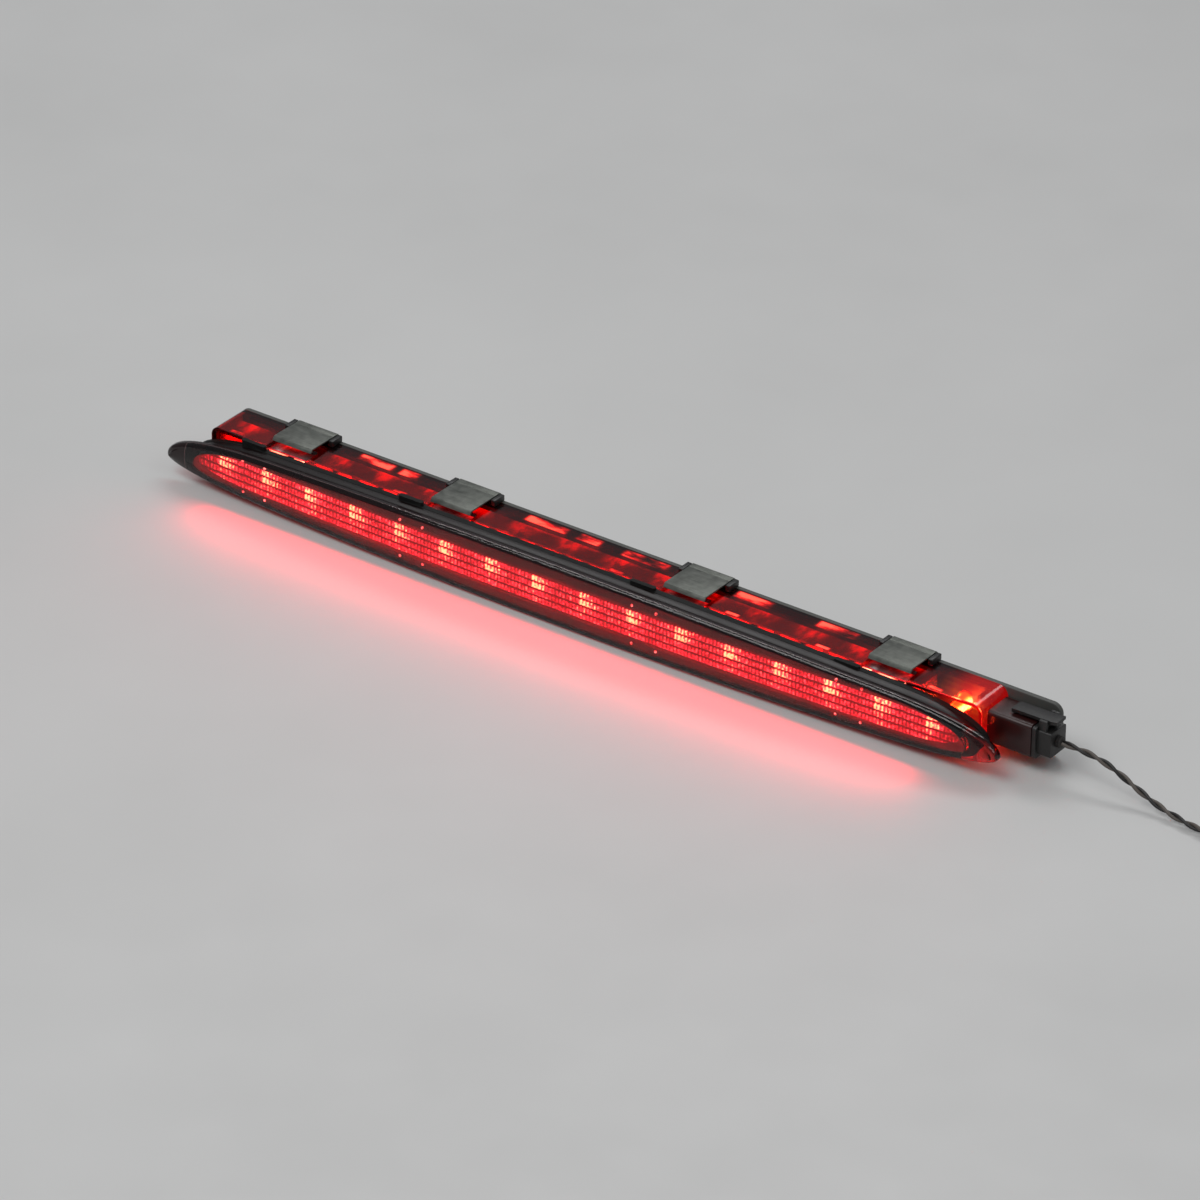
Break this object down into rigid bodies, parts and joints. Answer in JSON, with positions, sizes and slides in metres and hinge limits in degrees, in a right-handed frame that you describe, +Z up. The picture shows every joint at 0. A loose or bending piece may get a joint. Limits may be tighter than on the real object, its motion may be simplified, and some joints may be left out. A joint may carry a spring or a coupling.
{
  "type": "third brake light",
  "caption": "Long eye-shaped third brake light: clear red lens over a ribbed lit panel, clip-on red housing, sprung steel clips, plug and short lead.",
  "frame": {"origin": "under the middle of the lamp without its plug and lead, on the surface that it lies on", "axes": "+X along the lamp towards the plug end, -Y the way the lens shines, +Z up"},
  "size_m": [0.5011, 0.0675, 0.0264],
  "materials": {
    "red_lens": "polished deep red, nearly black at its thick rim",
    "black_mask": "satin black",
    "lit_panel": "fluted clear red, lit",
    "rim_plastic": "gloss black",
    "gasket_rubber": "matte",
    "red_housing": "moulded clear red, faint swirl",
    "mirror_tray": "vacuum metallised",
    "board": "solder mask",
    "led_resin": "clear epoxy, lit",
    "tinned_wire": "tinned",
    "chip_ceramic": "satin",
    "component_black": "satin black",
    "foam_pad": "foam",
    "cover_plastic": "grey, lightly textured",
    "spring_steel": "dull zinc plated, grey-green",
    "socket_plastic": "dark maroon",
    "brass_contact": "tin flashed",
    "plug_plastic": "fine spark texture",
    "seal_rubber": "matte",
    "wire_insulation": "satin",
    "tie_plastic": "satin",
    "far_plastic": "satin"
  },
  "bodies": {
    "lamp": {"back_cover": "cover_plastic", "blocking_diode": "component_black", "board_pads": "foam_pad", "circuit_board": "board", "clip_catches": "component_black", "housing": "red_housing", "led_domes": "led_resin", "led_legs": "tinned_wire", "light_mask": "black_mask", "light_panel": "lit_panel", "outer_lens": "red_lens", "reflector_tray": "mirror_tray", "resistors": "chip_ceramic", "rim_frame": "rim_plastic", "rim_gasket": "gasket_rubber", "snap_studs": "lit_panel", "socket_housing": "socket_plastic", "spring_clip_1": "spring_steel", "spring_clip_2": "spring_steel", "spring_clip_3": "spring_steel", "spring_clip_4": "spring_steel", "terminal_pins": "brass_contact"},
    "leaf_1": {"clip_leaf_1": "spring_steel"},
    "leaf_2": {"clip_leaf_2": "spring_steel"},
    "leaf_3": {"clip_leaf_3": "spring_steel"},
    "leaf_4": {"clip_leaf_4": "spring_steel"},
    "plug": {"plug_housing": "plug_plastic", "plug_contacts": "brass_contact", "latch_pin": "tinned_wire", "wire_seal": "seal_rubber", "lead": "wire_insulation", "lead_tail": "wire_insulation", "lead_coil": "wire_insulation", "coil_tie": "tie_plastic", "far_connector": "far_plastic"},
    "latch": {"latch_lever": "plug_plastic"}
  },
  "joints": [
    {"name": "clip_1_flex", "type": "hinge", "parent": "lamp", "child": "leaf_1", "pos_m": [-0.14565, 0.0142, 0.0248], "axis": [1, 0, 0], "range_deg": [0, 5], "stiffness_Nm_per_rad": 0.05, "springref_deg": -1.15},
    {"name": "clip_2_flex", "type": "hinge", "parent": "lamp", "child": "leaf_2", "pos_m": [-0.06715, 0.0142, 0.0248], "axis": [1, 0, 0], "range_deg": [0, 5], "stiffness_Nm_per_rad": 0.05, "springref_deg": -1.15},
    {"name": "clip_3_flex", "type": "hinge", "parent": "lamp", "child": "leaf_3", "pos_m": [0.04235, 0.0142, 0.0248], "axis": [1, 0, 0], "range_deg": [0, 5], "stiffness_Nm_per_rad": 0.05, "springref_deg": -1.15},
    {"name": "clip_4_flex", "type": "hinge", "parent": "lamp", "child": "leaf_4", "pos_m": [0.13335, 0.0142, 0.0248], "axis": [1, 0, 0], "range_deg": [0, 5], "stiffness_Nm_per_rad": 0.05, "springref_deg": -1.15},
    {"name": "plug_pull", "type": "slide", "parent": "lamp", "child": "plug", "axis": [1, 0, 0], "range_m": [0, 0.012]},
    {"name": "latch_press", "type": "hinge", "parent": "plug", "child": "latch", "pos_m": [0.19845, 0.008, 0.0206], "axis": [0, 1, 0], "range_deg": [0, 10], "stiffness_Nm_per_rad": 0.01, "springref_deg": -2.86}
  ]
}
